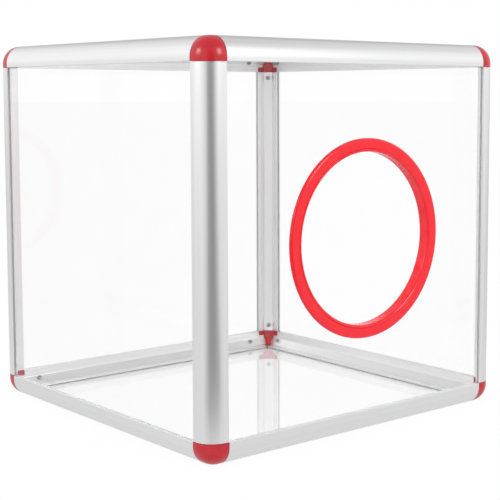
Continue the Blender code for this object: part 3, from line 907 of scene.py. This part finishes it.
class Studio(Nodes):
    """The floor's or the world's tree, with the kinds of ray that reach it."""

    def __init__(self, tree):
        super().__init__(tree)
        tree.nodes.clear()
        path = self.node("ShaderNodeLightPath").outputs
        before_matt = self.maths("LESS_THAN", path["Diffuse Depth"], 1)
        clear = self.maths("MAXIMUM", path["Is Camera Ray"], path["Is Transmission Ray"])
        shown = self.maths("MAXIMUM", clear, path["Is Glossy Ray"])
        self.seen = self.maths("MULTIPLY", shown, before_matt)
        self.bare = self.maths("SUBTRACT", path["Is Glossy Ray"], path["Is Transmission Ray"])
        self.glossy = self.maths("MINIMUM", path["Glossy Depth"], 1)

    def maths(self, operation, first, second):
        made = self.node("ShaderNodeMath", operation=operation, use_clamp=operation == "SUBTRACT")
        self.put(made.inputs[0], first)
        self.put(made.inputs[1], second)
        return made.outputs[0]

    def rise(self, value, start, end, top=1.0):
        made = self.node("ShaderNodeMapRange", interpolation_type="SMOOTHSTEP")
        for name, number in (("From Min", start), ("From Max", end), ("To Max", top)):
            self.put(made.inputs[name], number)
        self.put(made.inputs["Value"], value)
        return made.outputs["Result"]

    def vector(self, operation, first, second=None):
        made = self.node("ShaderNodeVectorMath", operation=operation)
        self.put(made.inputs[0], first)
        if second is not None:
            self.put(made.inputs[1], second)
        return made.outputs["Value" if operation in ("DOT_PRODUCT", "LENGTH") else "Vector"]

    def towards(self, place, turn, angles, height=1.0):
        """1 in a direction round from the camera's side, 0 beyond an angle from it."""
        outer, inner = (math.cos(math.radians(angle)) for angle in angles)
        around = -CAMERA_YAW + math.radians(turn)
        way = (math.sin(around), -math.cos(around), 0)
        level = self.vector("NORMALIZE", self.vector("MULTIPLY", place, (1, 1, height)))
        return self.rise(self.vector("DOT_PRODUCT", level, way), outer, inner)


def add_floor():
    """White to the eye and through the sheets, with a faint shadow. Metal sees it as greyer, a
    little less so inside the box, and darker still in front of the box and behind it."""
    bm = bmesh.new()
    bmesh.ops.create_circle(bm, cap_ends=True, segments=FLOOR_SEGMENTS, radius=FLOOR_RADIUS)
    floor = add_object("floor", mesh_from("floor", bm))
    material = bpy.data.materials.new("floor")
    material.use_nodes = True
    nodes = Studio(material.node_tree)
    place = nodes.node("ShaderNodeTexCoord").outputs["Object"]
    away = nodes.rise(nodes.vector("LENGTH", place), *FLOOR_DARK_FROM)
    front = nodes.towards(place, NEAR_TURN, FLOOR_FRONT_ANGLES)
    front = nodes.maths("MULTIPLY", front, FLOOR_FRONT_DARK)
    behind = nodes.towards(place, BEHIND_TURN, FLOOR_BEHIND_ANGLES)
    behind = nodes.maths("MULTIPLY", behind, FLOOR_BEHIND_DARK)
    dark = nodes.maths("MULTIPLY", nodes.maths("MAXIMUM", front, behind), away)
    dark = nodes.maths("MULTIPLY", nodes.maths("MAXIMUM", dark, FLOOR_DARK), nodes.bare)
    dark = nodes.maths("MAXIMUM", dark, nodes.maths("MULTIPLY", nodes.glossy, FLOOR_DARK_INSIDE))
    white = nodes.node("ShaderNodeEmission")
    nodes.put(white.inputs["Strength"], nodes.maths("SUBTRACT", 1, dark))
    matt = nodes.node("ShaderNodeBsdfDiffuse")
    nodes.put(matt.inputs["Color"], FLOOR_MATT)
    share = nodes.maths("MINIMUM", nodes.maths("ADD", away, FLOOR_WHITE_SHARE), 1)
    share = nodes.maths("MULTIPLY", nodes.seen, share)
    surface = nodes.mix(share, matt.outputs["BSDF"], white.outputs["Emission"])
    nodes.put(nodes.node("ShaderNodeOutputMaterial").inputs["Surface"], surface)
    floor.data.materials.append(material)


def add_world():
    """White to the eye and a plain level on matt surfaces. Metal sees a greyer studio: dark behind
    the camera, dimmer high up and behind the box."""
    world = bpy.data.worlds.new("studio")
    bpy.context.scene.world = world
    world.use_nodes = True
    nodes = Studio(world.node_tree)
    way = nodes.node("ShaderNodeTexCoord").outputs["Generated"]
    near = nodes.towards(way, NEAR_TURN, NEAR_ANGLES, STUDIO_HEIGHT)
    near = nodes.maths("MULTIPLY", near, NEAR_DARK)
    behind = nodes.towards(way, BEHIND_TURN, BEHIND_ANGLES, STUDIO_HEIGHT)
    behind = nodes.maths("MULTIPLY", behind, BEHIND_DARK)
    sides = nodes.maths("MULTIPLY", nodes.maths("MAXIMUM", near, behind), nodes.bare)
    rising = nodes.vector("DOT_PRODUCT", way, OUT)
    high = nodes.maths("MULTIPLY", nodes.rise(rising, *HIGH_FROM, HIGH_DARK), nodes.glossy)
    studio = nodes.maths("SUBTRACT", 1, nodes.maths("MAXIMUM", sides, high))
    unseen = nodes.maths("SUBTRACT", 1, nodes.seen)
    studio = nodes.maths("MULTIPLY", studio, nodes.seen)
    strength = nodes.maths("ADD", studio, nodes.maths("MULTIPLY", unseen, AMBIENT))
    background = nodes.node("ShaderNodeBackground")
    nodes.put(background.inputs["Color"], (1, 1, 1, 1))
    nodes.put(background.inputs["Strength"], strength)
    surface = nodes.node("ShaderNodeOutputWorld").inputs["Surface"]
    nodes.put(surface, background.outputs["Background"])


def add_softbox(name, turn, rise, size):
    """A soft lamp at an angle round from the camera's side, aimed at the box's middle."""
    light = bpy.data.lights.new(name, "AREA")
    light.shape = "RECTANGLE"
    light.size, light.size_y = size
    light.energy = SOFTBOX_RADIANCE * math.pi * size[0] * size[1]
    lamp = add_object(name, light)
    around = -CAMERA_YAW + math.radians(turn)
    up = math.radians(rise)
    way = Vector((math.sin(around) * math.cos(up), -math.cos(around) * math.cos(up), math.sin(up)))
    lamp.location = BOX_CENTRE + way * SOFTBOX_DISTANCE
    lamp.rotation_euler = way.to_track_quat("Z", "Y").to_euler()


def add_camera():
    data = bpy.data.cameras.new("camera")
    data.sensor_width = CAMERA_SENSOR
    data.lens = CAMERA_LENS
    data.shift_x, data.shift_y = CAMERA_SHIFT
    camera = add_object("camera", data)
    camera.location = CAMERA_PLACE
    camera.rotation_euler = (math.pi / 2 + CAMERA_PITCH, 0, -CAMERA_YAW)
    bpy.context.scene.camera = camera


add_floor()
add_world()
add_softbox("softbox_left", turn=-58, rise=28, size=(0.44, 0.5))
add_softbox("softbox_right", turn=50, rise=30, size=(0.44, 0.55))
add_camera()
bpy.context.scene.view_settings.view_transform = "Standard"
